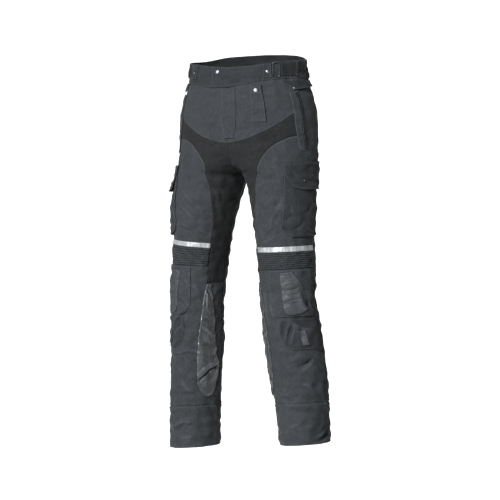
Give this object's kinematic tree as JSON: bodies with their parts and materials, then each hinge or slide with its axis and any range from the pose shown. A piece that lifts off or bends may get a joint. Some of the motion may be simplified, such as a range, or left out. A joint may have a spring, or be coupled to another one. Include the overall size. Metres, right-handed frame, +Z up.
{
  "type": "motorcycle trousers",
  "caption": "Protective motorcycle trousers, filled out as worn, with cargo pockets, ribbed knee bands, knee and calf patches, reflective strips and a waistband with adjusters.",
  "frame": {"origin": "centre of the waist, at mid height of the waistband", "axes": "+Z up along the wearer, +X to the wearer's left, the front faces -Y"},
  "size_m": [0.4822, 0.2756, 1.1024],
  "materials": {
    "shell_cloth": "matt plain-woven polyamide",
    "stretch_cloth": "matt stretch weave",
    "ribbed_cloth": "matt, in cross ribs",
    "grip_leather": "grained, slightly shiny",
    "reflective_tape": "silver glass-bead tape",
    "webbing": "woven band",
    "steel": "nickel-plated, satin"
  },
  "bodies": {
    "root": {"front_yoke_left": "shell_cloth", "thigh_front_left": "shell_cloth", "shin_front_left": "shell_cloth", "back_left": "shell_cloth", "hem_left": "shell_cloth", "pocket_welt_left": "shell_cloth", "hip_flap_left": "shell_cloth", "cargo_pocket_left": "shell_cloth", "cargo_flap_left": "shell_cloth", "knee_cup_left": "shell_cloth", "knee_lower_left": "shell_cloth", "adjuster_tab_left": "shell_cloth", "strap_end_left": "shell_cloth", "crotch_stretch_left": "stretch_cloth", "ribbed_band_left": "ribbed_cloth", "knee_patch_left": "grip_leather", "knee_small_patch_left": "grip_leather", "calf_grip_left": "grip_leather", "reflective_strip_left": "reflective_tape", "adjuster_strap_left": "webbing", "cargo_stud_left": "steel", "hip_rivet_left": "steel", "adjuster_stud_left": "steel", "adjuster_ring_left": "steel", "front_yoke_right": "shell_cloth", "thigh_front_right": "shell_cloth", "shin_front_right": "shell_cloth", "back_right": "shell_cloth", "hem_right": "shell_cloth", "pocket_welt_right": "shell_cloth", "hip_flap_right": "shell_cloth", "cargo_pocket_right": "shell_cloth", "cargo_flap_right": "shell_cloth", "knee_cup_right": "shell_cloth", "knee_lower_right": "shell_cloth", "adjuster_tab_right": "shell_cloth", "strap_end_right": "shell_cloth", "crotch_stretch_right": "stretch_cloth", "ribbed_band_right": "ribbed_cloth", "knee_patch_right": "grip_leather", "knee_small_patch_right": "grip_leather", "calf_grip_right": "grip_leather", "reflective_strip_right": "reflective_tape", "adjuster_strap_right": "webbing", "cargo_stud_right": "steel", "hip_rivet_right": "steel", "adjuster_stud_right": "steel", "adjuster_ring_right": "steel", "waistband_left": "shell_cloth", "waistband_right": "shell_cloth", "waistband_back": "shell_cloth", "fly_placket": "shell_cloth", "front_tab": "shell_cloth", "front_tab_stud": "steel", "lap_stud": "steel"}
  },
  "joints": []
}
